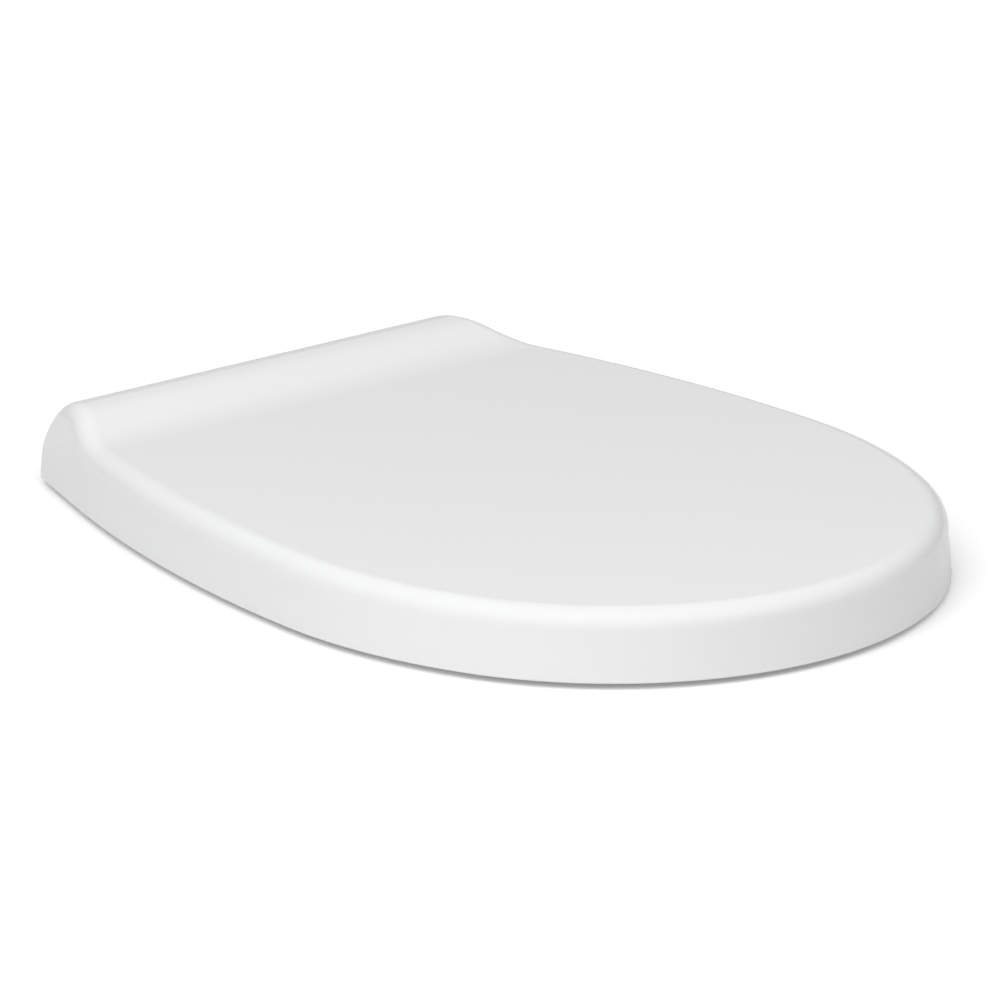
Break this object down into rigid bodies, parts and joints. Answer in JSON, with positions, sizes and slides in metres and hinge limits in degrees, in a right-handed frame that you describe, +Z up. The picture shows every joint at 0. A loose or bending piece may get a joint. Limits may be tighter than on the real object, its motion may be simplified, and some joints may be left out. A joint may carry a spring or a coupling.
{
  "type": "toilet seat",
  "caption": "Wrap-over toilet seat with a soft-close lid over a hinged seat ring, on two posts with threaded fixing inserts.",
  "frame": {"origin": "midway between the two fixing inserts, below the hinge axis, on the bowl rim plane the seat lies on", "axes": "+X along the hinge axis, to the right seen from the front; -Y towards the front edge of the seat; +Z up"},
  "size_m": [0.351, 0.4645, 0.0468],
  "materials": {
    "gloss_white": "glossy white moulded plastic",
    "hinge_white": "satin white moulded plastic",
    "brass": "turned brass",
    "rubber_grey": "matt grey rubber",
    "buffer_clear": "soft translucent white rubber",
    "steel": "stainless steel",
    "bush_plastic": "natural nylon",
    "damper_plastic": "dark grey moulded plastic"
  },
  "bodies": {
    "base": {"hinge_post_left": "hinge_white", "hinge_post_right": "hinge_white", "fixing_insert_left": "brass", "fixing_insert_right": "brass", "foot_pad_left": "rubber_grey", "foot_pad_right": "rubber_grey", "lid_damper_housing": "damper_plastic", "lid_damper_cap": "damper_plastic", "seat_damper_housing": "damper_plastic", "seat_damper_cap": "damper_plastic", "lid_hinge_pin": "steel", "seat_hinge_pin": "steel"},
    "seat": {"seat_ring": "gloss_white", "seat_buffer_front_left": "buffer_clear", "seat_buffer_front_right": "buffer_clear", "seat_buffer_rear_left": "buffer_clear", "seat_buffer_rear_right": "buffer_clear", "seat_bush": "bush_plastic", "seat_damper_rotor": "damper_plastic"},
    "lid": {"lid": "gloss_white", "lid_buffer_front_left": "buffer_clear", "lid_buffer_front_right": "buffer_clear", "lid_buffer_rear_left": "buffer_clear", "lid_buffer_rear_right": "buffer_clear", "lid_bush": "bush_plastic", "lid_damper_rotor": "damper_plastic"}
  },
  "joints": [
    {"name": "seat_hinge", "type": "hinge", "parent": "base", "child": "seat", "pos_m": [0, 0, 0.016], "axis": [-1, 0, 0], "range_deg": [0, 95]},
    {"name": "lid_hinge", "type": "hinge", "parent": "seat", "child": "lid", "pos_m": [0, 0, 0.016], "axis": [1, 0, 0], "range_deg": [-100, 0]}
  ]
}
